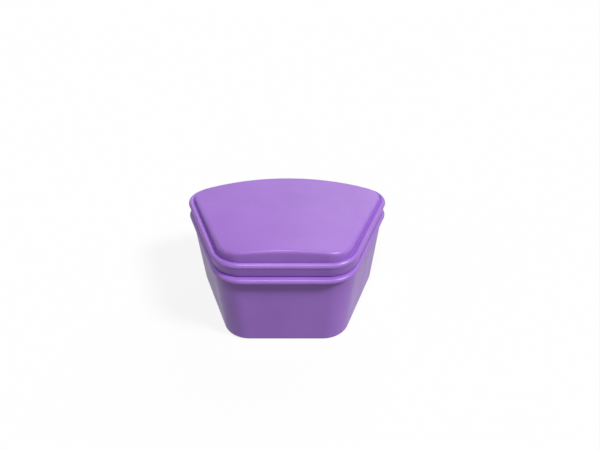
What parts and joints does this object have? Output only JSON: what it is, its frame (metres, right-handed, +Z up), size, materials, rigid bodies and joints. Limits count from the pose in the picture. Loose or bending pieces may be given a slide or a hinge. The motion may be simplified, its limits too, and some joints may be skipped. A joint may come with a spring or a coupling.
{
  "type": "denture case",
  "caption": "Fan-shaped denture bath: a tapering tub with a flanged rim, a hanging strainer basket and a press-on lid with a raised, crowned panel.",
  "frame": {"origin": "centre of the bounding box at the level of the foot, on the surface that the case stands on", "axes": "+X to the case's right along its width, +Y from the narrow straight front to the bowed back, +Z up"},
  "size_m": [0.0904, 0.0712, 0.0462],
  "materials": {
    "purple_plastic": "satin moulded polypropylene",
    "white_plastic": "satin moulded polypropylene"
  },
  "bodies": {
    "tub": {"tub": "purple_plastic"},
    "basket": {"strainer_basket": "white_plastic"},
    "lid": {"lid": "purple_plastic"}
  },
  "joints": [
    {"name": "basket_lift", "type": "slide", "parent": "tub", "child": "basket", "axis": [0, 0, 1], "range_m": [0, 0.06]},
    {"name": "lid_lift", "type": "slide", "parent": "basket", "child": "lid", "axis": [0, 0, 1], "range_m": [0, 0.05]}
  ]
}
